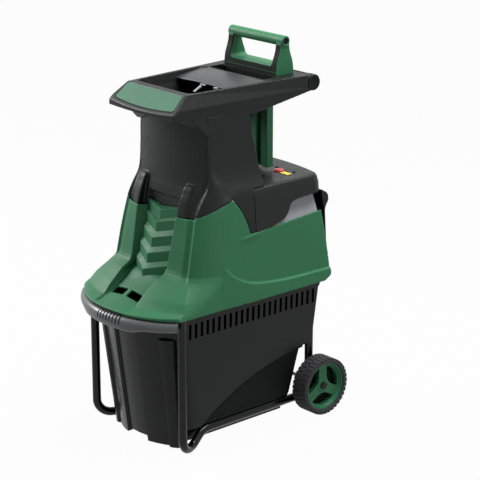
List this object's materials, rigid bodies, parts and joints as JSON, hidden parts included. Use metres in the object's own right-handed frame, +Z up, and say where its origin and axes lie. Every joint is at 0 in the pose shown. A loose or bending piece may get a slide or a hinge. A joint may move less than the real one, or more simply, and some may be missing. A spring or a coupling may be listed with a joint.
{
  "type": "garden shredder",
  "caption": "Garden shredder on a wheeled tube frame, with a hopper, lift-out feed plunger, geared cutting drum and a collecting bin that slides out forwards.",
  "frame": {"origin": "centre of the footprint, on the ground", "axes": "+Z up, -Y towards the front lip and hopper plate, +X to the right side seen from behind"},
  "size_m": [0.422, 0.643, 1.0055],
  "materials": {
    "frame_paint": "black gloss powder coat",
    "bare_steel": "turned",
    "tyre_rubber": "moulded rubber",
    "green_plastic": "fine moulded grain",
    "plate_green": "smooth satin",
    "pale_plastic": "moulded",
    "bin_plastic": "satin moulded",
    "dark_plastic": "fine moulded grain",
    "deck_plastic": "fine moulded grain",
    "grey_plastic": "fine moulded grain",
    "red_plastic": "glossy moulded",
    "start_green": "glossy moulded",
    "yellow_plate": "printed film",
    "brass": "drawn",
    "cast_aluminium": "cast",
    "drum_steel": "machined",
    "copper_winding": "varnished winding"
  },
  "bodies": {
    "chassis": {"frame_left": "frame_paint", "frame_right": "frame_paint", "axle": "bare_steel", "axle_spacers": "dark_plastic", "axle_caps": "bare_steel", "lock_guide": "dark_plastic", "base_plate": "dark_plastic", "front_cover": "green_plastic", "louvre_panel": "green_plastic", "side_panel_left": "green_plastic", "side_panel_right": "green_plastic", "upper_housing": "dark_plastic", "motor_cover": "deck_plastic", "vent_panel_left": "grey_plastic", "vent_panel_right": "grey_plastic", "rear_cover": "dark_plastic", "mains_inlet": "dark_plastic", "inlet_pins": "brass", "feed_neck": "dark_plastic", "feed_throat": "dark_plastic", "hopper": "dark_plastic", "hopper_plate": "plate_green", "hopper_hood": "deck_plastic", "rear_handle": "dark_plastic", "handle_caps": "dark_plastic", "switch_box": "dark_plastic", "panel_plate": "yellow_plate", "cover_screws": "dark_plastic", "cutter_housing": "cast_aluminium", "drum_bearings": "bare_steel", "gearbox_housing": "cast_aluminium", "gearbox_cover": "cast_aluminium", "counter_bearings": "bare_steel", "motor_housing": "cast_aluminium", "stator": "copper_winding", "motor_bearings": "bare_steel", "run_capacitor": "pale_plastic"},
    "wheel_left": {"tyre_left": "tyre_rubber", "rim_left": "green_plastic", "bush_left": "pale_plastic"},
    "wheel_right": {"tyre_right": "tyre_rubber", "rim_right": "green_plastic", "bush_right": "pale_plastic"},
    "bin": {"collecting_bin": "bin_plastic", "bin_handle": "bin_plastic"},
    "bin_lock": {"bin_lock": "dark_plastic"},
    "plunger": {"plunger": "green_plastic", "plunger_grip": "green_plastic", "grip_caps": "dark_plastic"},
    "stop_button": {"stop_button": "red_plastic"},
    "start_button": {"start_button": "start_green"},
    "pressure_plate": {"pressure_plate": "cast_aluminium"},
    "adjuster": {"adjuster_screw": "bare_steel", "adjuster_knob": "dark_plastic"},
    "drum": {"cutting_drum": "drum_steel", "drum_shaft": "bare_steel", "drum_gear": "bare_steel"},
    "countershaft": {"countershaft": "bare_steel"},
    "rotor": {"rotor": "bare_steel", "motor_fan": "dark_plastic"}
  },
  "joints": [
    {"name": "wheel_left_spin", "type": "hinge", "parent": "chassis", "child": "wheel_left", "pos_m": [-0.186, 0.244, 0.0775], "axis": [1, 0, 0], "continuous": true},
    {"name": "wheel_right_spin", "type": "hinge", "parent": "chassis", "child": "wheel_right", "pos_m": [0.186, 0.244, 0.0775], "axis": [1, 0, 0], "continuous": true},
    {"name": "bin_slide", "type": "slide", "parent": "chassis", "child": "bin", "axis": [0, -1, 0], "range_m": [0, 0.5]},
    {"name": "bin_lock_slide", "type": "slide", "parent": "chassis", "child": "bin_lock", "axis": [1, 0, 0], "range_m": [0, 0.008]},
    {"name": "plunger_lift", "type": "slide", "parent": "chassis", "child": "plunger", "axis": [0, 0, 1], "range_m": [0, 0.4]},
    {"name": "stop_press", "type": "slide", "parent": "chassis", "child": "stop_button", "axis": [0, 0, -1], "range_m": [0, 0.004], "stiffness_N_per_m": 500},
    {"name": "start_press", "type": "slide", "parent": "chassis", "child": "start_button", "axis": [0, 0, -1], "range_m": [0, 0.004], "stiffness_N_per_m": 500},
    {"name": "adjuster_turn", "type": "hinge", "parent": "chassis", "child": "adjuster", "pos_m": [-0.15, -0.02, 0.47], "axis": [1, 0, 0], "range_deg": [0, 721]},
    {"name": "pressure_plate_slide", "type": "slide", "parent": "chassis", "child": "pressure_plate", "axis": [1, 0, 0], "range_m": [0, 0.003]},
    {"name": "rotor_spin", "type": "hinge", "parent": "chassis", "child": "rotor", "pos_m": [0.02, 0.15, 0.47], "axis": [0, 1, 0], "continuous": true},
    {"name": "countershaft_spin", "type": "hinge", "parent": "chassis", "child": "countershaft", "pos_m": [0.08, 0.08, 0.47], "axis": [0, 1, 0], "continuous": true},
    {"name": "drum_spin", "type": "hinge", "parent": "chassis", "child": "drum", "pos_m": [0.02, -0.02, 0.47], "axis": [0, 1, 0], "continuous": true}
  ],
  "couplings": [
    {"joint": "adjuster_turn", "follows": "pressure_plate_slide", "rad_per_m": 4188.8},
    {"joint": "countershaft_spin", "follows": "rotor_spin", "ratio": -0.2},
    {"joint": "drum_spin", "follows": "rotor_spin", "ratio": 0.042424}
  ]
}
